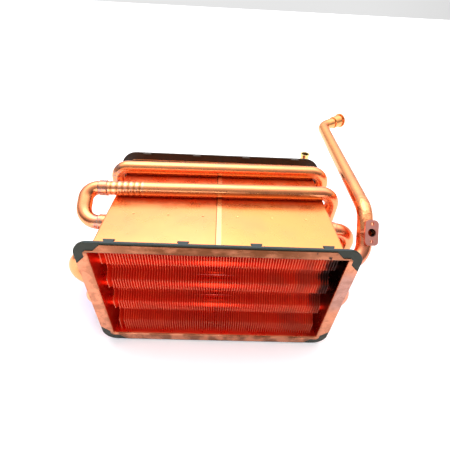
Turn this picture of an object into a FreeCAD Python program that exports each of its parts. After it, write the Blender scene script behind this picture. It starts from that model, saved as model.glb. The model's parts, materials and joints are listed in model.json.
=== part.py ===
import FreeCAD, Part
import math
import os

# Copper heat exchanger of a gas water heater: a sheet copper casing with a finned tube core at
# its flue end, and a cooling coil around the combustion chamber at its burner end.
# Millimetres. X runs along the long side, +Y from the flue end to the burner end, +Z up.
# The origin is the centre of the flue opening, in the sealing face of its copper lips.

Vector = FreeCAD.Vector

# ---- Steel frames and casing ----
frame_width = 302.0
frame_height = 178.0
depth = 207.0
frame_corner_radius = 18.0
burner_frame_overhang = 4.0
burner_frame_corner_radius = 26.0
frame_sheet = 1.3
frame_rim_depth = 1.5
frame_edge_radius = 0.9
frame_fit = 0.2
flange_side = 14.0
flange_top = 14.0
sheet = 0.8
casing_corner_radius = 2.4
lip_bend_radius = 1.7
lip_side_margin = 0.8
lip_top_margin = 2.6
corner_strip = 3.2
corner_strip_radius = 3.0
notch_along_top = 30.0
notch_along_side = 30.0
seam_overlap = 4.0
seam_joggle = 1.6
seam_gap = 0.05
tab_count = 4
tab_margin = 38.4
tab_width = 12.0
tab_neck_width = 9.5
tab_neck_length = 1.2
tab_length = 3.8
dimple_count = 6
dimple_margin = 32.3
dimple_radius = 1.5
dimple_depth = 0.35

# ---- Tubes ----
tube_radius = 9.0
tube_wall = 0.9
braze_gap = 0.05
wall_hole_gap = 0.1
flare_length = 1.2
socket_length = 5.0
long_socket_length = 9.0
left_bend_straight = 2.6
braze_length = 1.2
braze_height = 0.75

# ---- Finned core ----
front_row_count = 3
rear_row_count = 4
row_edge_distance = 14.2
front_row_y = 30.5
rear_row_y = 69.0
fin_thickness = 0.35
fin_pitch = 3.0
fin_left_gap = 15.0
fin_right_gap = 5.6
end_fin_gap = 6.0
fin_casing_gap = 0.4
fin_front_y = 6.5
fin_recess_y = 16.0
fin_rear_overhang = 13.0
fin_rear_recess = 11.0
lobe_flat = 15.0
recess_flat = 9.0
turbulator_sheet = 0.5
turbulator_pitch = 22.0
turbulator_swing = 3.2
turbulator_width = 11.0

# ---- Cooling coil ----
coil_standoff = 0.95
coil_left_standoff = 3.4
coil_right_standoff = 5.2
coil_left_inner_bend = 8.8
coil_right_inner_bend = 11.0
coil_front_gap = 43.0
coil_rear_setback = 40.0
coil_lean = 2.7
coil_start_lean = 4.2
coil_start_overhang = 6.2
coil_end_height = 14.0
ripple_count = 5
ripple_pitch = 7.2
ripple_start = 14.0
ripple_height = 0.3
ripple_length = 3.4

# ---- Crossover from the coil to the core ----
crossover_straight = 0.1
crossover_upper_share = 0.33
crossover_lower_share = 0.44

# ---- Outlet pipe and its sensor flange ----
outlet_straight = 0.4
outlet_rise = Vector(4.2, 45.5, 46.5)
outlet_overrun = 126.0
outlet_run_drift = Vector(9.8, 0, 7.5)
outlet_tail_direction = Vector(0.85, 0.50, 0.10)
outlet_tail_length = 34.0
outlet_first_bend = 26.0
outlet_second_bend = 36.0
outlet_third_bend = 24.0
tail_wall = 1.75
tail_sleeve_length = 15.0
tail_overlap = 8.0
tail_groove_wall = 0.75
tail_groove_length = 2.2
tail_flange_wall = 3.95
tail_flange_length = 2.6
boss_distance = 37.0
boss_roll = 6.0
boss_radius = 7.8
boss_height = 5.2
sensor_hole_radius = 4.75
plate_length = 30.0
plate_width = 16.0
plate_thickness = 2.5
plate_corner_radius = 5.0
screw_spacing = 21.0
screw_hole_radius = 2.1

# ---- Inlet pipe ----
inlet_side_clearance = 0.8
inlet_inset = 15.0
inlet_overrun = 118.0
inlet_straight = 0.6
inlet_run_drop = 8.0
inlet_top = 26.0
inlet_first_bend = 24.0
inlet_second_bend = 24.0
inlet_third_bend = 22.0
inlet_plug_wall = 1.65
inlet_tail_wall = 1.2
inlet_tail_rise = 15.0
inlet_rim_wall = 2.8
inlet_rim_length = 2.0

# ---- Derived sizes ----
casing_width = frame_width - 2 * flange_side
casing_height = frame_height - 2 * flange_top
wall_x = casing_width / 2
burner_frame_width = frame_width + 2 * burner_frame_overhang
top_z = casing_height / 2
inner_x = wall_x - sheet
inner_z = top_z - sheet
row_pitch = (2 * inner_z - 2 * row_edge_distance) / (rear_row_count - 1)
rear_row_top = inner_z - row_edge_distance
front_row_top = rear_row_top - row_pitch / 2
lip_throat_radius = lip_bend_radius + sheet
shoulder_x = wall_x + flare_length
tube_bore = tube_radius - tube_wall
socket_bore = tube_radius + braze_gap
socket_radius = socket_bore + tube_wall
coil_left_bend_radius = tube_radius + coil_left_inner_bend
coil_right_bend_radius = tube_radius + coil_right_inner_bend
coil_left_x = -(wall_x + coil_left_standoff + tube_radius)
coil_right_x = wall_x + coil_right_standoff + tube_radius
coil_z = top_z + coil_standoff + tube_radius
coil_rear_y = depth - coil_rear_setback
coil_front_y = rear_row_y + coil_front_gap
tab_pitch = (frame_width - 2 * tab_margin) / (tab_count - 1)
dimple_pitch = (casing_width - 2 * dimple_margin) / (dimple_count - 1)
tail_sleeve_radius = socket_bore + tail_wall
tail_groove_radius = socket_bore + tail_groove_wall
tail_flange_radius = socket_bore + tail_flange_wall
inlet_plug_radius = tube_bore - braze_gap
inlet_tail_bore = inlet_plug_radius - inlet_plug_wall
inlet_tail_radius = inlet_tail_bore + inlet_tail_wall
inlet_rim_radius = inlet_tail_bore + inlet_rim_wall

X = Vector(1, 0, 0)
Y = Vector(0, 1, 0)
Z = Vector(0, 0, 1)


def row_point(row, index):
    """Centre (Y, Z) of a core tube; index 0 is the top tube of its row."""
    y = {"front": front_row_y, "rear": rear_row_y}[row]
    top = {"front": front_row_top, "rear": rear_row_top}[row]
    return y, top - index * row_pitch


def unit(vector):
    return Vector(vector).normalize()


def polygon_wire(points):
    return Part.makePolygon(points + [points[0]])


def rounded_outline(width, height, radius, y):
    """Rounded rectangle in the XZ plane at depth y."""
    half_x = width / 2
    half_z = height / 2
    edges = []
    for turn in range(4):
        quarter = math.pi / 2 * turn
        reach_x, reach_z = (half_x, half_z) if turn % 2 == 0 else (half_z, half_x)
        along = Vector(math.cos(quarter), 0, math.sin(quarter))
        across = Vector(-math.sin(quarter), 0, math.cos(quarter))
        base = Vector(0, y, 0)
        start = base + along * reach_x - across * (reach_z - radius)
        end = base + along * reach_x + across * (reach_z - radius)
        centre = base + along * (reach_x - radius) + across * (reach_z - radius)
        middle = centre + (along + across) * (radius / math.sqrt(2))
        corner_end = centre + across * radius
        edges.append(Part.LineSegment(start, end).toShape())
        edges.append(Part.Arc(end, middle, corner_end).toShape())
    return Part.Wire(edges)


def slab(wire, thickness):
    """Solid from a closed wire in an XZ plane, thickened towards +Y."""
    return Part.Face(wire).extrude(Vector(0, thickness, 0))


def box(low, high):
    size = high - low
    return Part.makeBox(size.x, size.y, size.z, low)


def turned(profile, origin, axis):
    """Solid turned about axis through origin, from (distance along axis, radius) points."""
    direction = unit(axis)
    helper = X if abs(direction.x) < 0.9 else Y
    radial = unit(helper - direction * helper.dot(direction))
    points = [origin + direction * along + radial * radius for along, radius in profile]
    face = Part.Face(polygon_wire(points))
    return face.revolve(origin, direction, 360)


def path_wire(points, radii):
    """Straight runs joined by tangent arcs, one radius for each inner point."""
    edges = []
    last = points[0]
    for index, radius in enumerate(radii):
        corner = points[index + 1]
        before = unit(corner - points[index])
        after = unit(points[index + 2] - corner)
        turn = before.getAngle(after)
        tangent = radius * math.tan(turn / 2)
        start = corner - before * tangent
        end = corner + after * tangent
        middle_way = unit(after - before)
        middle = corner + middle_way * (radius / math.cos(turn / 2) - radius)
        if (start - last).Length > 1e-6:
            edges.append(Part.LineSegment(last, start).toShape())
        edges.append(Part.Arc(start, middle, end).toShape())
        last = end
    edges.append(Part.LineSegment(last, points[-1]).toShape())
    return Part.Wire(edges)


def swept(wire, start, direction, radius):
    profile = Part.Wire(Part.makeCircle(radius, start, direction))
    return wire.makePipeShell([profile], True, False)


def pipe(points, radii):
    """Copper tube along a bent path."""
    wire = path_wire(points, radii)
    direction = unit(points[1] - points[0])
    outside = swept(wire, points[0], direction, tube_radius)
    inside = swept(wire, points[0], direction, tube_bore)
    return outside.cut(inside)


def socket_profile(length):
    """Expanded tube end: the shoulder is at 0 and the mouth at length."""
    return [
        (-flare_length, tube_radius),
        (0, socket_radius),
        (length, socket_radius),
        (length, socket_bore),
        (0, socket_bore),
        (0, tube_bore),
        (-flare_length, tube_bore),
    ]


def socket_end(shoulder, direction, length):
    return turned(socket_profile(length), shoulder, direction)


def braze_ring(mouth, direction):
    """Fillet of braze metal around the tube that enters a socket."""
    profile = [
        (0, socket_bore),
        (0, tube_radius + braze_height + 0.1),
        (braze_length / 2, tube_radius + braze_height * 0.75),
        (braze_length, socket_bore + 0.05),
        (braze_length, socket_bore),
    ]
    return turned(profile, mouth, direction)


def mirrored_outline(quarter):
    """Closed outline in (X, Z) from the points of its first quadrant, bottom right upwards."""
    right = [(x, -z) for x, z in reversed(quarter)] + quarter
    left = [(-x, z) for x, z in reversed(right)]
    return right + left


# ---- Casing ----
def lip_outline(y):
    """Outer edge of the out-turned copper lips, cut back at the four corners."""
    lip_x = frame_width / 2 - lip_side_margin
    lip_z = frame_height / 2 - lip_top_margin
    strip_x = wall_x + corner_strip
    strip_z = top_z + corner_strip
    notch_x = frame_width / 2 - notch_along_top
    notch_z = frame_height / 2 - notch_along_side
    quarter = [
        (lip_x, notch_z),
        (strip_x, notch_z + lip_x - strip_x),
        (strip_x, strip_z - corner_strip_radius),
        (strip_x - corner_strip_radius, strip_z),
        (notch_x + lip_z - strip_z, strip_z),
        (notch_x, lip_z),
    ]
    return polygon_wire([Vector(x, y, z) for x, z in mirrored_outline(quarter)])


def ring_edges(shape, y, half_x, half_z):
    """Edges of shape in the plane at y that lie within half_x and half_z of the axis."""
    found = []
    for edge in shape.Edges:
        bounds = edge.BoundBox
        reach_x = max(bounds.XMax, -bounds.XMin)
        reach_z = max(bounds.ZMax, -bounds.ZMin)
        if is_in_plane(edge, y) and reach_x < half_x + 0.1 and reach_z < half_z + 0.1:
            found.append(edge)
    return found


def casing_tube():
    """Four walls with a lip bent outwards around each end."""
    outer_radius = casing_corner_radius
    inner_radius = casing_corner_radius - sheet
    body = slab(rounded_outline(casing_width, casing_height, outer_radius, 0), depth)
    opening = slab(rounded_outline(2 * inner_x, 2 * inner_z, inner_radius, -1), depth + 2)
    for y in (0, depth - sheet):
        body = body.fuse(slab(lip_outline(y), sheet))
    for y in (sheet, depth - sheet):
        body = body.makeFillet(lip_bend_radius, ring_edges(body, y, wall_x, top_z))
    body = body.cut(opening)
    for y in (0, depth):
        body = body.makeFillet(lip_throat_radius, ring_edges(body, y, inner_x, inner_z))
    for row, count in (("front", front_row_count), ("rear", rear_row_count)):
        for index in range(count):
            y, z = row_point(row, index)
            start = Vector(-wall_x - 1, y, z)
            hole = Part.makeCylinder(tube_radius + wall_hole_gap, casing_width + 2, start, X)
            body = body.cut(hole)
    return body


def dimples(first, last):
    """Shallow punch marks in the top sheet, in line with the rear tube row."""
    marks = []
    sphere_radius = (dimple_radius**2 + dimple_depth**2) / (2 * dimple_depth)
    for index in range(first, last):
        x = (index - (dimple_count - 1) / 2) * dimple_pitch
        centre = Vector(x, rear_row_y, top_z + sphere_radius - dimple_depth)
        marks.append(Part.makeSphere(sphere_radius, centre))
    return Part.makeCompound(marks)


def seam_lap(face):
    """Strip that steps up from the right half over the left one; face 1 is the top."""
    y_start = sheet + lip_bend_radius + frame_fit
    length = depth - 2 * y_start
    outer = top_z + seam_gap + sheet
    outline = [
        (seam_joggle / 2, top_z - sheet / 2),
        (seam_joggle, top_z - sheet / 2),
        (seam_joggle, outer),
        (-seam_overlap, outer),
        (-seam_overlap, top_z + seam_gap),
        (seam_joggle / 2, top_z + seam_gap),
    ]
    points = [Vector(x, y_start, face * z) for x, z in outline]
    return slab(polygon_wire(points), length)


def casing_half(side):
    """One half shell: side -1 is the left half, and 1 the right, whose edge laps over the left."""
    reach = frame_width
    low = Vector(-reach if side < 0 else 0, -1, -reach)
    high = Vector(0 if side < 0 else reach, depth + 1, reach)
    half = casing_tube().common(box(low, high))
    if side > 0:
        for face in (1, -1):
            half = half.fuse(seam_lap(face))
    first, last = (0, dimple_count // 2) if side < 0 else (dimple_count // 2, dimple_count)
    return half.cut(dimples(first, last)).removeSplitter()


# ---- Steel frames ----
def frame_ring(y, way, width, corner_radius):
    """Steel frame behind the lips at y, its outer edge turned back along way (1 is +Y)."""
    full_depth = frame_sheet + frame_rim_depth
    low_y = min(y, y + way * full_depth)
    outside = rounded_outline(width, frame_height, corner_radius, low_y)
    ring = slab(outside, full_depth)
    face_edges = [edge for edge in ring.Edges if is_in_plane(edge, y)]
    ring = ring.makeFillet(frame_edge_radius, face_edges)
    hollow = rounded_outline(
        width - 2 * frame_sheet,
        frame_height - 2 * frame_sheet,
        corner_radius - frame_sheet,
        min(y + way * frame_sheet, y + way * 2 * full_depth),
    )
    opening_gap = lip_bend_radius + frame_fit
    opening = rounded_outline(
        casing_width + 2 * opening_gap,
        casing_height + 2 * opening_gap,
        casing_corner_radius + opening_gap,
        y - full_depth,
    )
    ring = ring.cut(slab(hollow, 2 * full_depth - frame_sheet)).cut(slab(opening, 2 * full_depth))
    for index in range(tab_count):
        x = (index - (tab_count - 1) / 2) * tab_pitch
        for face in (1, -1):
            ring = ring.fuse(frame_tab(x, y + way * full_depth, way, face))
    return ring.removeSplitter()


def is_in_plane(edge, y):
    return abs(edge.BoundBox.YMin - y) < 1e-6 and abs(edge.BoundBox.YMax - y) < 1e-6


def frame_tab(x, edge_y, way, face):
    """Flat tab on the rim's free edge, with a narrow neck and a wider head."""
    neck = tab_neck_width / 2
    head = tab_width / 2
    root = -frame_rim_depth / 4
    outline = [
        (-neck, root),
        (neck, root),
        (neck, tab_neck_length),
        (head, tab_neck_length + (head - neck)),
        (head, tab_length),
        (-head, tab_length),
        (-head, tab_neck_length + (head - neck)),
        (-neck, tab_neck_length),
    ]
    z = face * frame_height / 2 - (frame_sheet if face > 0 else 0)
    points = [Vector(x + across, edge_y + way * along, z) for across, along in outline]
    return Part.Face(polygon_wire(points)).extrude(Vector(0, 0, frame_sheet))


# ---- Finned core ----
def fin_outline():
    """(Y, Z) outline of one fin: a lobe in line with each rear tube, on both edges."""
    top = inner_z - fin_casing_gap
    slope = (row_pitch - lobe_flat - recess_flat) / 2
    rear_y = rear_row_y + fin_rear_overhang
    recess_y = rear_y - fin_rear_recess
    front = [(fin_front_y, top)]
    rear = [(rear_y, top)]
    for index in range(rear_row_count - 1):
        upper = row_point("rear", index)[1] - lobe_flat / 2
        lower = row_point("rear", index + 1)[1] + lobe_flat / 2
        front.append((fin_front_y, upper))
        front.append((fin_recess_y, upper - slope))
        front.append((fin_recess_y, lower + slope))
        front.append((fin_front_y, lower))
        rear.append((rear_y, upper))
        rear.append((recess_y, upper - slope))
        rear.append((recess_y, lower + slope))
        rear.append((rear_y, lower))
    front.append((fin_front_y, -top))
    rear.append((rear_y, -top))
    return front + list(reversed(rear))


def fin(x):
    points = [Vector(x, y, z) for y, z in fin_outline()]
    plate = Part.Face(polygon_wire(points)).extrude(Vector(fin_thickness, 0, 0))
    holes = []
    for row, count in (("front", front_row_count), ("rear", rear_row_count)):
        for index in range(count):
            y, z = row_point(row, index)
            start = Vector(x - 1, y, z)
            holes.append(Part.makeCylinder(tube_radius + braze_gap, fin_thickness + 2, start, X))
    return plate.cut(Part.makeCompound(holes))


def fin_pack():
    room = 2 * inner_x - fin_left_gap - fin_right_gap
    count = int(room / fin_pitch) + 1
    first = fin(-inner_x + fin_left_gap)
    end_fin = first.copy()
    end_fin.translate(Vector(-end_fin_gap, 0, 0))
    fins = [end_fin]
    for index in range(count):
        copy = first.copy()
        copy.translate(Vector(index * fin_pitch, 0, 0))
        fins.append(copy)
    return Part.makeCompound(fins)


def core_tube(row, index, left_socket, right_socket):
    """Straight tube through both side walls, expanded to a socket at each end."""
    y, z = row_point(row, index)
    right = [(shoulder_x + along, radius) for along, radius in socket_profile(right_socket)]
    left = [(-shoulder_x - along, radius) for along, radius in socket_profile(left_socket)]
    bore_end = 6
    outline = right[:bore_end] + list(reversed(left[:bore_end]))
    return turned(outline, Vector(0, y, z), X)


def turbulator(row, index):
    """Zigzag strip that stirs the water inside one core tube."""
    y, z = row_point(row, index)
    steps = int(2 * inner_x / turbulator_pitch)
    span = steps * turbulator_pitch
    upper = []
    for step in range(steps + 1):
        swing = turbulator_swing if step % 2 else -turbulator_swing
        upper.append((-span / 2 + step * turbulator_pitch, swing))
    lower = [(along, swing - turbulator_sheet) for along, swing in reversed(upper)]
    points = [Vector(along, y - turbulator_width / 2, z + swing) for along, swing in upper + lower]
    return Part.Face(polygon_wire(points)).extrude(Vector(0, turbulator_width, 0))


def return_bend(side, first, second):
    """U bend between the sockets of two core tubes; first and second are (Y, Z) centres."""
    a = Vector(0, first[0], first[1])
    b = Vector(0, second[0], second[1])
    radius = (b - a).Length / 2
    outward = X * side
    length = socket_length if side > 0 else long_socket_length + left_bend_straight
    straight_end = outward * (shoulder_x + length + braze_length)
    start = a + outward * shoulder_x
    end = b + outward * shoulder_x
    top = (a + b) * 0.5 + straight_end + outward * radius
    edges = [
        Part.LineSegment(start, a + straight_end).toShape(),
        Part.Arc(a + straight_end, top, b + straight_end).toShape(),
        Part.LineSegment(b + straight_end, end).toShape(),
    ]
    wire = Part.Wire(edges)
    outside = swept(wire, start, outward, tube_radius)
    inside = swept(wire, start, outward, tube_bore)
    return outside.cut(inside)


# ---- Cooling coil ----
def coil_points():
    """Corners of the coil's centreline, from the crossover round to the inlet joint."""
    start_x = -(wall_x + coil_start_overhang)
    return [
        Vector(start_x, coil_front_y - coil_start_lean, coil_z),
        Vector(coil_right_x, coil_front_y + coil_lean, coil_z),
        Vector(coil_right_x, coil_front_y + 2 * coil_lean, -coil_z),
        Vector(coil_left_x, coil_rear_y - 2 * coil_lean, -coil_z),
        Vector(coil_left_x, coil_rear_y - coil_lean, coil_z),
        Vector(coil_right_x, coil_rear_y + coil_lean, coil_z),
        Vector(coil_right_x, coil_rear_y + coil_lean, coil_end_height),
    ]


def ripple(centre, direction):
    """One soft ring pressed up around the tube."""
    half = ripple_length / 2
    inside = tube_radius - tube_wall / 2
    profile = [(-half, inside)]
    steps = 6
    for step in range(steps + 1):
        along = -half + ripple_length * step / steps
        height = ripple_height * math.sin(math.pi * step / steps)
        profile.append((along, tube_radius + height))
    profile.append((half, inside))
    return turned(profile, centre, direction)


def cooling_coil():
    points = coil_points()
    right = coil_right_bend_radius
    left = coil_left_bend_radius
    body = pipe(points, [right, right, left, left, right])
    start_way = unit(points[0] - points[1])
    start_shoulder = points[0] + start_way * flare_length
    body = body.fuse(socket_end(start_shoulder, start_way, long_socket_length))
    end_way = unit(points[-1] - points[-2])
    end_shoulder = points[-1] + end_way * flare_length
    body = body.fuse(socket_end(end_shoulder, end_way, socket_length))
    for index in range(ripple_count):
        centre = points[0] - start_way * (ripple_start + index * ripple_pitch)
        body = body.fuse(ripple(centre, start_way))
    return body.removeSplitter()


def crossover_bend():
    """Loop from the coil's first socket to the rear row's top tube, on the left side."""
    coil = coil_points()
    coil_way = unit(coil[0] - coil[1])
    start = coil[0] + coil_way * flare_length
    y, z = row_point("rear", 0)
    span = math.hypot(start.y - y, start.z - z)
    radii = [span * crossover_upper_share, span * crossover_lower_share]
    reach = long_socket_length + braze_length + crossover_straight + radii[0]
    upper = start + coil_way * reach
    lower = Vector(upper.x, y, z)
    end = Vector(-shoulder_x, y, z)
    return pipe([start, upper, lower, end], radii)


# ---- Outlet ----
def outlet_points():
    y, z = row_point("front", 0)
    start = Vector(shoulder_x, y, z)
    tangent = outlet_first_bend * math.tan(X.getAngle(outlet_rise) / 2)
    reach = long_socket_length + braze_length + outlet_straight + tangent
    first = start + X * reach
    second = first + outlet_rise
    third = second + outlet_run_drift
    third.y = depth + outlet_overrun
    end = third + unit(outlet_tail_direction) * outlet_tail_length
    return [start, first, second, third, end]


def boss_frame():
    """Foot of the sensor boss on the pipe's centreline, the pipe's direction and the boss's."""
    points = outlet_points()
    along = unit(points[2] - points[1])
    foot = points[1] + along * boss_distance
    up = unit(Z - along * Z.dot(along))
    side = along.cross(up)
    roll = math.radians(boss_roll)
    return foot, along, up * math.cos(roll) + side * math.sin(roll)


def outlet_pipe():
    radii = [outlet_first_bend, outlet_second_bend, outlet_third_bend]
    body = pipe(outlet_points(), radii)
    foot, along, out = boss_frame()
    return body.cut(Part.makeCylinder(sensor_hole_radius, 2 * tube_radius, foot, out))


def sensor_boss():
    foot, along, out = boss_frame()
    top = tube_radius + boss_height
    post = Part.makeCylinder(boss_radius, top, foot, out)
    bore = Part.makeCylinder(sensor_hole_radius, top + 1, foot, out)
    pipe_start = foot - along * (2 * boss_radius)
    room = Part.makeCylinder(tube_radius + braze_gap, 4 * boss_radius, pipe_start, along)
    return post.cut(bore).cut(room)


def sensor_flange():
    foot, along, out = boss_frame()
    base = foot + out * (tube_radius + boss_height)
    plate = slab(rounded_outline(plate_length, plate_width, plate_corner_radius, 0), plate_thickness)
    for offset in (-screw_spacing / 2, screw_spacing / 2):
        start = Vector(offset, -1, 0)
        plate = plate.cut(Part.makeCylinder(screw_hole_radius, plate_thickness + 2, start, Y))
    centre_hole = Part.makeCylinder(sensor_hole_radius, plate_thickness + 2, Vector(0, -1, 0), Y)
    plate = plate.cut(centre_hole)
    across = along.cross(out)
    matrix = FreeCAD.Matrix()
    matrix.A11, matrix.A21, matrix.A31 = along
    matrix.A12, matrix.A22, matrix.A32 = out
    matrix.A13, matrix.A23, matrix.A33 = across
    matrix.A14, matrix.A24, matrix.A34 = base
    plate.transformShape(matrix)
    return plate


def outlet_tail():
    """Turned tail soldered over the pipe's end, with a sealing flange at its mouth."""
    points = outlet_points()
    out = unit(points[4] - points[3])
    start = points[4] - out * tail_overlap
    groove_start = tail_sleeve_length
    groove_end = groove_start + tail_groove_length
    flange_end = groove_end + tail_flange_length
    profile = [
        (0, socket_bore),
        (0, tail_sleeve_radius - 0.6),
        (0.6, tail_sleeve_radius),
        (groove_start, tail_sleeve_radius),
        (groove_start, tail_groove_radius),
        (groove_end, tail_groove_radius),
        (groove_end, tail_flange_radius - 0.5),
        (groove_end + 0.5, tail_flange_radius),
        (flange_end - 0.5, tail_flange_radius),
        (flange_end, tail_flange_radius - 0.5),
        (flange_end, tube_bore),
        (tail_overlap, tube_bore),
        (tail_overlap, socket_bore),
    ]
    return turned(profile, start, out)


# ---- Inlet ----
def inlet_points():
    coil = coil_points()
    start = coil[-1] - Z * flare_length
    pipe_x = burner_frame_width / 2 + inlet_side_clearance + tube_radius
    drop = socket_length + braze_length + inlet_straight + inlet_first_bend
    down = start - Z * drop
    run_z = down.z - inlet_run_drop
    beside = Vector(pipe_x, depth - inlet_inset, run_z)
    rear = Vector(pipe_x, depth + inlet_overrun, run_z)
    top = Vector(pipe_x, depth + inlet_overrun, inlet_top)
    return [start, down, beside, rear, top]


def inlet_pipe():
    return pipe(inlet_points(), [inlet_first_bend, inlet_second_bend, inlet_third_bend])


def inlet_tail():
    """Turned brass tail plugged into the inlet pipe's upturned end."""
    top = inlet_points()[-1]
    plug_length = long_socket_length
    rise = inlet_tail_rise
    profile = [
        (-plug_length, inlet_tail_bore),
        (-plug_length, inlet_plug_radius),
        (0, inlet_plug_radius),
        (0, inlet_rim_radius),
        (inlet_rim_length, inlet_rim_radius),
        (inlet_rim_length, inlet_tail_radius),
        (rise - inlet_rim_length, inlet_tail_radius),
        (rise - inlet_rim_length, inlet_rim_radius - 0.4),
        (rise, inlet_rim_radius - 0.4),
        (rise, inlet_tail_bore),
    ]
    return turned(profile, top, Z)


# ---- Joints between tubes ----
def sockets_of(row, index):
    """Lengths of a core tube's left and right sockets; the outlet joins the front row's top tube."""
    right = long_socket_length if (row, index) == ("front", 0) else socket_length
    return long_socket_length, right


bends = {
    "return_bend_right_rear_upper": (1, ("rear", 0), ("rear", 1)),
    "return_bend_left_rear": (-1, ("rear", 1), ("rear", 2)),
    "return_bend_right_rear_lower": (1, ("rear", 2), ("rear", 3)),
    "return_bend_left_lower": (-1, ("rear", 3), ("front", 2)),
    "return_bend_right_front": (1, ("front", 2), ("front", 1)),
    "return_bend_left_front": (-1, ("front", 1), ("front", 0)),
}


def braze_rings():
    rings = []
    for row, count in (("front", front_row_count), ("rear", rear_row_count)):
        for index in range(count):
            y, z = row_point(row, index)
            left, right = sockets_of(row, index)
            rings.append(braze_ring(Vector(-shoulder_x - left, y, z), -X))
            rings.append(braze_ring(Vector(shoulder_x + right, y, z), X))
    coil = coil_points()
    start_way = unit(coil[0] - coil[1])
    mouth = coil[0] + start_way * (flare_length + long_socket_length)
    rings.append(braze_ring(mouth, start_way))
    rings.append(braze_ring(coil[-1] - Z * (flare_length + socket_length), -Z))
    return Part.makeCompound(rings)


def build():
    parts = {
        "casing_left_half": casing_half(-1),
        "casing_right_half": casing_half(1),
        "flue_frame": frame_ring(sheet, 1, frame_width, frame_corner_radius),
        "burner_frame": frame_ring(
            depth - sheet, -1, burner_frame_width, burner_frame_corner_radius
        ),
        "fin_pack": fin_pack(),
    }
    strips = []
    for row, count in (("front", front_row_count), ("rear", rear_row_count)):
        for index in range(count):
            left, right = sockets_of(row, index)
            parts[f"core_tube_{row}_{index + 1}"] = core_tube(row, index, left, right)
            strips.append(turbulator(row, index))
    parts["turbulators"] = Part.makeCompound(strips)
    for name, (side, first, second) in bends.items():
        parts[name] = return_bend(side, row_point(*first), row_point(*second))
    parts["crossover_bend"] = crossover_bend()
    parts["cooling_coil"] = cooling_coil()
    parts["outlet_pipe"] = outlet_pipe()
    parts["outlet_tail"] = outlet_tail()
    parts["sensor_boss"] = sensor_boss()
    parts["sensor_flange"] = sensor_flange()
    parts["inlet_pipe"] = inlet_pipe()
    parts["inlet_tail"] = inlet_tail()
    parts["braze_rings"] = braze_rings()
    return parts


os.makedirs("parts", exist_ok=True)
for name, shape in build().items():
    shape.exportStep(f"parts/{name}.step")
    print(f"{name}: {len(shape.Solids)} solids, {shape.Volume:.1f} mm3, valid {shape.isValid()}")
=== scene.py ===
"""Looks for the copper heat exchanger: materials, weld and heat marks, floor, lights and camera."""
import json
import math

import bpy
from mathutils import Matrix, Vector


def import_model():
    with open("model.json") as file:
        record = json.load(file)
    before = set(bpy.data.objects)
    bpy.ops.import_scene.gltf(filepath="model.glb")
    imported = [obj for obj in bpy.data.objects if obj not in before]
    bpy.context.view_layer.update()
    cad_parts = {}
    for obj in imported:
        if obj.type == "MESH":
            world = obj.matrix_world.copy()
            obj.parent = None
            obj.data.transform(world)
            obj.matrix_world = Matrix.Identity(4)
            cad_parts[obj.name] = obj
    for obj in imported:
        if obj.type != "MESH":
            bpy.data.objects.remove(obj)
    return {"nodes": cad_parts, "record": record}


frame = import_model()
nodes = frame["nodes"]
mounts = {mount["name"]: mount for mount in frame["record"]["mounts"]}
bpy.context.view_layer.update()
MM = 0.001

# ---- Places on the object, in the row frame ----
HALF_WIDTH = 137 * MM  # centre to the casing's outer side faces
HALF_HEIGHT = 75 * MM  # centre to the casing's outer top and bottom faces
SEAM_EDGE = (-4.8 * MM, -4 * MM)  # edge of the overlapping half along the top
DIMPLE_PITCH = 41.88 * MM
DIMPLE_ROW = 69 * MM
CORE_END = (84 * MM, 90 * MM)  # the finned core gives way to the empty chamber between these
RIPPLE_PITCH = 7.2 * MM
DEPTH = mounts["burner_flange"]["pos_m"][1]
MIDWAY = (DEPTH / 2, DEPTH / 2 + 1 * MM)  # parts the flue frame from the burner frame
OUTLET_BEND = Vector((177.4, 76, 86.5)) * MM
SENSOR_BOSS = Vector(mounts["sensor_port"]["pos_m"])

# ---- Colours ----
PEACH = (0.93, 0.34, 0.14)
GOLD = (0.90, 0.37, 0.12)
PINK = (0.86, 0.27, 0.14)
LIP = (0.64, 0.24, 0.13)
# Deep red painted in for the shade and the light bounced between copper faces inside the casing.
CAVITY_SHADE_RED = (0.85, 0.04, 0.012)
BROWN = (0.15, 0.05, 0.02)
PLUM = (0.36, 0.21, 0.19)
# Near-black: the charred spots on the top lip, and the darkening at the core's right-hand end.
NEAR_BLACK = (0.035, 0.018, 0.016)
BLACK = (0.0, 0.0, 0.0)


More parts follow.
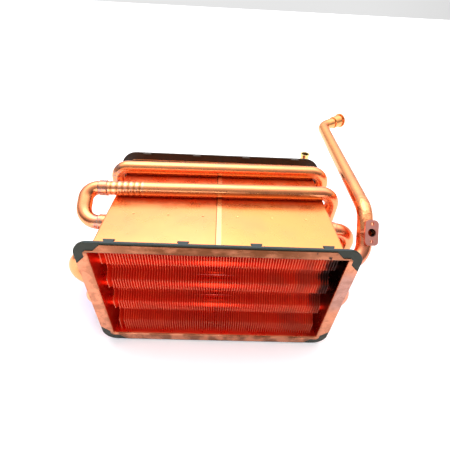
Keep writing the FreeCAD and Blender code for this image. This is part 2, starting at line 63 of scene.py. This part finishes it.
class Graph:
    """Short calls for building one material's node tree; positions are in the row frame."""

    def __init__(self, name):
        self.material = bpy.data.materials.new(name)
        self.material.use_nodes = True
        self.tree = self.material.node_tree
        self.tree.nodes.clear()
        self.position = self.add("ShaderNodeTexCoord").outputs["Object"]
        split = self.add("ShaderNodeSeparateXYZ", {0: self.position})
        self.x, self.y, self.z = split.outputs

    def add(self, kind, inputs=None, **settings):
        node = self.tree.nodes.new(kind)
        for name, value in settings.items():
            setattr(node, name, value)
        for socket, value in (inputs or {}).items():
            if isinstance(value, bpy.types.NodeSocket):
                self.tree.links.new(value, node.inputs[socket])
            else:
                node.inputs[socket].default_value = value
        return node

    def math(self, operation, a, b=0.0):
        return self.add("ShaderNodeMath", {0: a, 1: b}, operation=operation).outputs[0]

    def noise(self, size, detail=2.0, roughness=0.5, stretch=(1, 1, 1), distortion=0.0):
        """Noise whose patches are about size metres across."""
        place = self.add("ShaderNodeMapping", {"Vector": self.position, "Scale": stretch})
        inputs = {
            "Vector": place.outputs[0],
            "Scale": 1 / size,
            "Detail": detail,
            "Roughness": roughness,
            "Distortion": distortion,
        }
        return self.add("ShaderNodeTexNoise", inputs).outputs["Fac"]

    def ramp(self, value, low, high, start=0.0, end=1.0):
        """Smooth change from start to end as value goes from low to high."""
        inputs = {"Value": value, "From Min": low, "From Max": high, "To Min": start, "To Max": end}
        node = self.add("ShaderNodeMapRange", inputs, interpolation_type="SMOOTHSTEP", clamp=True)
        return node.outputs["Result"]

    def product(self, *masks):
        total = masks[0]
        for mask in masks[1:]:
            total = self.math("MULTIPLY", total, mask)
        return total

    def within(self, value, low, high, soft):
        """1 between low and high, falling to 0 over soft on both sides."""
        rise = self.ramp(value, low - soft, low)
        fall = self.ramp(value, high, high + soft, 1.0, 0.0)
        return self.product(rise, fall)

    def near(self, point, radius, soft):
        """1 within radius of a point, falling to 0 over soft metres."""
        inputs = {0: self.position, 1: point}
        distance = self.add("ShaderNodeVectorMath", inputs, operation="DISTANCE").outputs["Value"]
        return self.ramp(distance, radius, radius + soft, 1.0, 0.0)

    def mix(self, factor, a, b):
        node = self.add("ShaderNodeMix", {"Factor": factor}, data_type="RGBA")
        for socket, value in ((6, a), (7, b)):
            if isinstance(value, bpy.types.NodeSocket):
                self.tree.links.new(value, node.inputs[socket])
            else:
                node.inputs[socket].default_value = (*value, 1.0)
        return node.outputs[2]

    def bump(self, height, distance, strength, normal=None):
        inputs = {"Height": height, "Distance": distance, "Strength": strength}
        if normal is not None:
            inputs["Normal"] = normal
        return self.add("ShaderNodeBump", inputs).outputs["Normal"]

    def finish(self, color, roughness, metallic=1.0, normal=None, **extra):
        inputs = {"Base Color": color, "Roughness": roughness, "Metallic": metallic}
        if normal is not None:
            inputs["Normal"] = normal
        inputs.update(extra)
        shader = self.add("ShaderNodeBsdfPrincipled", inputs)
        self.add("ShaderNodeOutputMaterial", {"Surface": shader.outputs[0]})
        return self.material


def dark_right_end(g):
    """Darker towards the right-hand end of the core, strongest at the top."""
    ragged = g.math("MULTIPLY", g.math("SUBTRACT", g.noise(14 * MM, 4.0), 0.5), 40 * MM)
    across = g.ramp(g.math("ADD", g.x, ragged), 113 * MM, 124 * MM)
    upwards = g.ramp(g.math("ADD", g.z, ragged), -60 * MM, 30 * MM, 0.2, 0.97)
    return g.product(across, upwards)


# ---- Casing ----
def top_sheet(g):
    """Bright sheet, golden at the right, with a pale seam strip, a brown line, weld marks and specks."""
    patches = g.ramp(g.noise(45 * MM, 4.0), 0.35, 0.7)
    tops = g.ramp(g.z, HALF_HEIGHT - 0.4 * MM, HALF_HEIGHT - 0.1 * MM)
    color = g.mix(g.product(tops, g.ramp(g.x, -25 * MM, 35 * MM, 0.25, 1.0)), PEACH, GOLD)
    color = g.mix(g.product(patches, 0.35), color, PINK)
    seam = g.product(g.within(g.x, *SEAM_EDGE, 0.5 * MM), tops)
    color = g.mix(g.product(seam, 0.7), color, BROWN)
    for steps in (2.5, 1.5, 0.5):
        mark = g.near((-steps * DIMPLE_PITCH, DIMPLE_ROW, HALF_HEIGHT), 0.9 * MM, 0.5 * MM)
        color = g.mix(g.product(mark, 0.75), color, BROWN)
    speck = g.ramp(g.noise(2.2 * MM, 2.0), 0.73, 0.78)
    color = g.mix(g.product(speck, 0.8), color, BROWN)

    above_sheet = g.ramp(g.z, HALF_HEIGHT + 0.2 * MM, HALF_HEIGHT + 0.5 * MM)
    strip = g.product(above_sheet, g.ramp(g.y, 2.4 * MM, 2.7 * MM))
    return g.mix(g.product(strip, 0.7), color, (0.97, 0.60, 0.32))


def casing_inside(g, color, side, height):
    """Deep red inner walls, the red painted in as shade and copper-bounced light inside the cavity, and
    darker towards their right-hand end.
    """
    streaks = g.noise(10 * MM, 4.0, stretch=(0.15, 1, 1))
    inner = g.product(
        g.ramp(side, HALF_WIDTH - 0.7 * MM, HALF_WIDTH - 0.5 * MM, 1.0, 0.0),
        g.ramp(height, HALF_HEIGHT - 0.7 * MM, HALF_HEIGHT - 0.5 * MM, 1.0, 0.0),
        g.ramp(g.y, 1.5 * MM, 4 * MM),
    )
    # Painted shade: the inner walls get the deep red of the shaded, copper-lit cavity.
    color = g.mix(inner, color, g.mix(streaks, CAVITY_SHADE_RED, PINK))
    return g.mix(g.product(inner, dark_right_end(g)), color, NEAR_BLACK)


def lip_stains(g, color, side, lip):
    """Burnt top lip with a charred spot, plum stain on the right lip, brown blotches on the others."""
    color = g.mix(lip, color, LIP)
    top_lip = g.product(lip, g.ramp(g.z, HALF_HEIGHT - 1.4 * MM, HALF_HEIGHT - 0.4 * MM))
    burn = g.ramp(g.noise(16 * MM, 5.0, 0.62, stretch=(0.5, 1, 1)), 0.34, 0.56, 0.55, 1.0)
    middle = g.ramp(side, 60 * MM, 120 * MM, 1.0, 0.7)
    color = g.mix(g.product(top_lip, burn, middle), color, BROWN)
    specks = g.ramp(g.noise(7 * MM, 5.0), 0.56, 0.66)
    char = g.product(top_lip, specks, g.within(g.x, 96 * MM, 116 * MM, 10 * MM))
    color = g.mix(char, color, NEAR_BLACK)

    side_lip = g.product(lip, g.ramp(side, HALF_WIDTH - 0.4 * MM, HALF_WIDTH + 0.4 * MM))
    stain = g.product(side_lip, g.ramp(g.x, 0, 1 * MM), g.within(g.z, 0, 44 * MM, 22 * MM))
    color = g.mix(g.product(stain, 0.7), color, PLUM)
    blotches = g.ramp(g.noise(11 * MM, 5.0, 0.6), 0.42, 0.62)
    color = g.mix(g.product(side_lip, blotches, g.ramp(g.x, 0, 1 * MM, 0.45, 0.3)), color, BROWN)

    bottom = g.ramp(g.z, 0.4 * MM - HALF_HEIGHT, 1.4 * MM - HALF_HEIGHT, 1.0, 0.0)
    dirt = g.ramp(g.noise(20 * MM, 4.0), 0.4, 0.6, 0.15, 0.8)
    return g.mix(g.product(lip, bottom, dirt), color, BROWN)


def copper_sheet():
    g = Graph("copper_sheet")
    side = g.math("ABSOLUTE", g.x)
    height = g.math("ABSOLUTE", g.z)
    lip = g.ramp(g.y, 1.0 * MM, 2.2 * MM, 1.0, 0.0)
    color = casing_inside(g, top_sheet(g), side, height)
    color = lip_stains(g, color, side, lip)

    creases = g.noise(9 * MM, 3.0, distortion=0.6)
    grain = g.noise(0.7 * MM, 2.0, stretch=(0.08, 1, 1))
    normal = g.bump(g.noise(38 * MM, 2.0), 0.5 * MM, 0.5)
    normal = g.bump(g.product(creases, lip), 0.6 * MM, 0.8, normal)
    normal = g.bump(grain, 0.004 * MM, 0.4, normal)
    roughness = g.ramp(g.noise(25 * MM, 4.0), 0.3, 0.7, 0.24, 0.36)
    return g.finish(color, roughness, normal=normal)


# ---- Tubes and fins ----
def tube_marks(g, color):
    """Sooty crossover collar, painted highlights on the ripple crests and painted shade in the troughs of
    the coil, mauve tubes at the far right.
    """
    collar = g.product(
        g.within(g.x, -154 * MM, -143 * MM, 2 * MM),
        g.ramp(g.z, 45 * MM, 52 * MM),
    )
    sooty = g.ramp(g.noise(5 * MM, 5.0, 0.65), 0.42, 0.6, 0.1, 0.9)
    color = g.mix(g.product(collar, sooty), color, PLUM)

    # Painted highlight on the crests of the coil's ripples and painted shade in their troughs.
    ripple_highlight_shade = g.product(
        g.within(g.x, -140 * MM, -99 * MM, 3 * MM),
        g.within(g.y, 96 * MM, 120 * MM, 2 * MM),
        g.ramp(g.z, 76 * MM, 80 * MM),
    )
    wave = g.math("SINE", g.math("MULTIPLY", g.x, 2 * math.pi / RIPPLE_PITCH))
    color = g.mix(g.product(ripple_highlight_shade, g.ramp(wave, 0.1, 0.7, 0.0, 0.4)), color, (0.95, 0.58, 0.40))
    color = g.mix(g.product(ripple_highlight_shade, g.ramp(wave, -0.9, -0.4, 0.45, 0.0)), color, BROWN)

    mauve = g.product(
        g.ramp(g.x, 162 * MM, 170 * MM),
        g.ramp(g.y, 40 * MM, 60 * MM, 1.0, 0.0),
        g.ramp(g.z, 20 * MM, 80 * MM, 1.0, 0.3),
    )
    return g.mix(g.product(mauve, 0.8), color, (0.48, 0.15, 0.11))


def copper_tube():
    g = Graph("copper_tube")
    patches = g.ramp(g.noise(26 * MM, 4.0), 0.4, 0.68, 0.0, 0.7)
    color = g.mix(patches, PEACH, PINK)
    color = g.mix(g.ramp(g.y, 100 * MM, 300 * MM, 0.0, 0.8), color, GOLD)
    color = tube_marks(g, color)

    # Painted shade: inside the casing the tubes turn deep red for the cavity's shade and bounce light, and
    # darker towards its right-hand end.
    core = g.product(
        g.ramp(g.math("ABSOLUTE", g.x), HALF_WIDTH - 2 * MM, HALF_WIDTH - 0.5 * MM, 1.0, 0.0),
        g.ramp(g.math("ABSOLUTE", g.z), HALF_HEIGHT - 2 * MM, HALF_HEIGHT, 1.0, 0.0),
        g.ramp(g.y, *CORE_END, 1.0, 0.0),
    )
    color = g.mix(core, color, CAVITY_SHADE_RED)
    color = g.mix(g.product(core, dark_right_end(g)), color, NEAR_BLACK)

    wrinkles = g.product(g.noise(6 * MM, 2.0), g.near(OUTLET_BEND, 14 * MM, 14 * MM))
    normal = g.bump(g.noise(11 * MM, 2.0), 0.10 * MM, 0.5)
    normal = g.bump(wrinkles, 1.2 * MM, 0.8, normal)
    roughness = g.ramp(g.noise(14 * MM, 4.0), 0.3, 0.7, 0.20, 0.32)
    return g.finish(color, roughness, normal=normal)


def copper_fin():
    """Deep red fins, the red being painted shade and copper-bounced light of the cavity; the small glow
    stands in for light that bounces between them many times.
    """
    g = Graph("copper_fin")
    streaks = g.noise(9 * MM, 4.0, stretch=(1, 0.5, 1))
    # Painted shade: the fins are deep red for the shade and bounce light between them.
    color = g.mix(g.ramp(streaks, 0.35, 0.65), CAVITY_SHADE_RED, (0.92, 0.09, 0.025))
    # Painted light: the front edges of the fins are lighter, where light reaches in at the opening.
    lit_front_edge = g.ramp(g.y, 6.8 * MM, 8 * MM, 1.0, 0.0)
    color = g.mix(g.product(lit_front_edge, 0.6), color, (0.92, 0.30, 0.16))
    burnt = g.product(g.ramp(g.noise(30 * MM, 4.0), 0.5, 0.66), g.ramp(g.x, 20 * MM, 110 * MM, 0.15, 0.6))
    color = g.mix(burnt, color, (0.45, 0.09, 0.05))
    right_dark = dark_right_end(g)
    # Darker towards the right-hand end of the core.
    color = g.mix(right_dark, color, NEAR_BLACK)
    glow = g.mix(right_dark, (0.50, 0.020, 0.006), BLACK)
    normal = g.bump(g.noise(6 * MM, 2.0), 0.2 * MM, 0.6)
    lit = {"Emission Color": glow, "Emission Strength": 0.10}
    return g.finish(color, 0.32, 0.5, normal, **lit)


# ---- Other materials ----
def frame_steel():
    """Dark coated steel: a painted bluish sheen of light on the flue frame's rim, and browner on the
    burner frame, which is also painted lighter to stand in for the highlights on its tabs.
    """
    g = Graph("frame_steel")
    color = g.mix(g.noise(14 * MM, 4.0), (0.016, 0.019, 0.012), (0.030, 0.033, 0.023))
    # Painted sheen: the flue frame's rim is lighter and bluer, as where light from above falls on it.
    rim_sheen = g.ramp(g.math("ABSOLUTE", g.z), 88.2 * MM, 88.9 * MM)
    color = g.mix(g.product(rim_sheen, g.ramp(g.y, *MIDWAY, 1.0, 0.0)), color, (0.04, 0.055, 0.058))
    # The burner frame's brown is partly its own coating and partly lightened as painted highlight for the
    # light on its tabs.
    color = g.mix(g.ramp(g.y, *MIDWAY), color, (0.055, 0.043, 0.033))
    scuffs = g.ramp(g.noise(4 * MM, 5.0, 0.7), 0.62, 0.74, 0.0, 0.35)
    color = g.mix(scuffs, color, (0.13, 0.13, 0.11))
    normal = g.bump(g.noise(1.2 * MM, 3.0), 0.02 * MM, 0.4)
    roughness = g.ramp(g.noise(8 * MM, 4.0), 0.3, 0.7, 0.38, 0.55)
    return g.finish(color, roughness, 0.0, normal, **{"Specular IOR Level": 0.22})


def strip_steel():
    g = Graph("strip_steel")
    color = g.mix(g.noise(8 * MM, 4.0), (0.42, 0.41, 0.40), (0.55, 0.54, 0.52))
    return g.finish(color, 0.4, normal=g.bump(g.noise(1 * MM, 2.0), 0.01 * MM, 0.4))


def brass():
    """Yellow on the inlet tail and silvery on the sensor boss."""
    g = Graph("brass")
    color = g.mix(g.noise(5 * MM, 3.0), (0.86, 0.66, 0.26), (0.72, 0.50, 0.18))
    silver = g.mix(g.noise(3 * MM, 3.0), (0.42, 0.40, 0.42), (0.62, 0.58, 0.60))
    color = g.mix(g.near(SENSOR_BOSS, 18 * MM, 4 * MM), color, silver)
    turning = g.noise(0.8 * MM, 1.0, stretch=(0.1, 0.1, 1))
    return g.finish(color, 0.26, normal=g.bump(turning, 0.01 * MM, 0.4))


def braze_metal():
    g = Graph("braze_metal")
    color = g.mix(g.ramp(g.noise(3.5 * MM, 4.0), 0.45, 0.62), (0.80, 0.62, 0.52), (0.16, 0.08, 0.07))
    return g.finish(color, 0.42, normal=g.bump(g.noise(1.6 * MM, 3.0), 0.15 * MM, 0.7))


def plate_copper():
    g = Graph("plate_copper")
    color = g.mix(g.noise(6 * MM, 4.0), (0.74, 0.26, 0.22), (0.84, 0.40, 0.33))
    scratches = g.noise(1.2 * MM, 3.0, stretch=(1, 0.2, 0.2))
    return g.finish(color, 0.34, normal=g.bump(scratches, 0.02 * MM, 0.5))


materials = {
    "copper_sheet": copper_sheet(),
    "copper_tube": copper_tube(),
    "copper_fin": copper_fin(),
    "frame_steel": frame_steel(),
    "brass": brass(),
    "braze_metal": braze_metal(),
    "turbulator_steel": strip_steel(),
}
for entry in frame["record"]["subparts"]:
    piece = nodes[entry["node"]]
    piece.data.materials.clear()
    piece.data.materials.append(materials[entry["material_slot"]])
nodes["sensor_flange"].data.materials[0] = plate_copper()

# ---- Floor, light and camera ----
FLOOR_REACH = 30.0
FLOOR_SLOPE = 2.45  # degrees, falling towards the burner end
FLOOR_TOUCH_Y = 0.8 * MM  # the flue frame's lower edge rests on the floor here
FLOOR_TOUCH_Z = min(vertex.co.z for vertex in nodes["flue_frame"].data.vertices)
# Centre of a lavender shadow painted on the floor left of the casing.
PAINTED_SHADOW_CENTRE = Vector((-168, 90, -92)) * MM

# Each row: axis, direction from, direction to, strength before it, strength after it.
WORLD_SLOPES = (
    (2, 0.2, 0.95, 1.0, 3.6),
    (1, -0.6, 0.1, 0.25, 1.0),
    (0, 0.3, 0.95, 1.0, 0.7),
    (0, -0.95, -0.3, 0.6, 1.0),
)

CAMERA_PLACE = Vector((-3.9, -219.0, 296.1)) * MM
CAMERA_YAW = math.radians(2.04)
CAMERA_PITCH = math.radians(39.08)
CAMERA_ROLL = math.radians(3.25)
CAMERA_LENS = 23.93
CAMERA_SENSOR = 36.0


def floor():
    """Pale floor that touches the flue frame's lower edge and the coil's lowest point, with a lavender
    shadow painted on it left of the casing.
    """
    corners = [(-1, -1), (1, -1), (1, 1), (-1, 1)]
    fall = math.tan(math.radians(FLOOR_SLOPE))
    points = []
    for x, y in corners:
        back = y * FLOOR_REACH - FLOOR_TOUCH_Y
        points.append((x * FLOOR_REACH, y * FLOOR_REACH, FLOOR_TOUCH_Z - fall * back))
    mesh = bpy.data.meshes.new("floor")
    mesh.from_pydata(points, [], [(0, 1, 2, 3)])
    plane = bpy.data.objects.new("floor", mesh)
    bpy.context.scene.collection.objects.link(plane)
    g = Graph("floor")
    paper = g.mix(g.noise(300 * MM, 2.0), (0.93, 0.92, 0.94), (0.95, 0.94, 0.95))
    # Painted shadow: a lavender patch on the floor left of the casing.
    paper = g.mix(g.near(PAINTED_SHADOW_CENTRE, 10 * MM, 120 * MM), paper, (0.38, 0.35, 0.50))
    lift = {"Emission Color": (0.96, 0.95, 1.0, 1.0), "Emission Strength": 0.22}
    mesh.materials.append(g.finish(paper, 0.6, 0.0, **lift))


def area_light(name, place, target, size, power):
    light = bpy.data.lights.new(name, "AREA")
    light.shape = "RECTANGLE"
    light.size, light.size_y = size
    light.energy = power
    lamp = bpy.data.objects.new(name, light)
    lamp.location = place
    lamp.rotation_mode = "QUATERNION"
    lamp.rotation_quaternion = (Vector(target) - Vector(place)).to_track_quat("-Z", "Y")
    bpy.context.scene.collection.objects.link(lamp)


def world():
    """White studio: brightest overhead and behind the object, darker behind the camera."""
    made = bpy.data.worlds.new("studio")
    made.use_nodes = True
    tree = made.node_tree
    tree.nodes.clear()
    place = tree.nodes.new("ShaderNodeTexCoord")
    split = tree.nodes.new("ShaderNodeSeparateXYZ")
    tree.links.new(place.outputs["Generated"], split.inputs[0])
    strength = None
    for axis, *limits in WORLD_SLOPES:
        level = tree.nodes.new("ShaderNodeMapRange")
        level.interpolation_type = "SMOOTHSTEP"
        for name, value in zip(("From Min", "From Max", "To Min", "To Max"), limits):
            level.inputs[name].default_value = value
        tree.links.new(split.outputs[axis], level.inputs["Value"])
        if strength is None:
            strength = level.outputs["Result"]
            continue
        product = tree.nodes.new("ShaderNodeMath")
        product.operation = "MULTIPLY"
        tree.links.new(strength, product.inputs[0])
        tree.links.new(level.outputs["Result"], product.inputs[1])
        strength = product.outputs[0]
    light = tree.nodes.new("ShaderNodeBackground")
    out = tree.nodes.new("ShaderNodeOutputWorld")
    tree.links.new(strength, light.inputs["Strength"])
    tree.links.new(light.outputs[0], out.inputs["Surface"])
    bpy.context.scene.world = made


def camera():
    """Camera at the flue end, above the casing, looking down on its top and its fins."""
    ahead = math.cos(CAMERA_PITCH)
    forward = Vector((math.sin(CAMERA_YAW) * ahead, math.cos(CAMERA_YAW) * ahead, -math.sin(CAMERA_PITCH)))
    level = Vector((math.cos(CAMERA_YAW), -math.sin(CAMERA_YAW), 0))
    upright = level.cross(forward)
    right = level * math.cos(CAMERA_ROLL) + upright * math.sin(CAMERA_ROLL)
    up = upright * math.cos(CAMERA_ROLL) - level * math.sin(CAMERA_ROLL)
    data = bpy.data.cameras.new("camera")
    data.sensor_width = CAMERA_SENSOR
    data.lens = CAMERA_LENS
    data.clip_start = 0.01
    data.clip_end = 200.0
    view = bpy.data.objects.new("camera", data)
    turn = Matrix((right, up, -forward)).transposed().to_4x4()
    view.matrix_world = Matrix.Translation(CAMERA_PLACE) @ turn
    bpy.context.scene.collection.objects.link(view)
    bpy.context.scene.camera = view


floor()
world()
camera()
area_light("top_softbox", place=(-0.3, 0.6, 1.6), target=(0, 0.1, 0), size=(1.2, 1.2), power=10)
area_light("camera_flash", place=(-0.3, -0.9, 0.1), target=(0, 0.03, 0), size=(0.9, 0.5), power=3)
bpy.context.scene.view_settings.view_transform = "Standard"
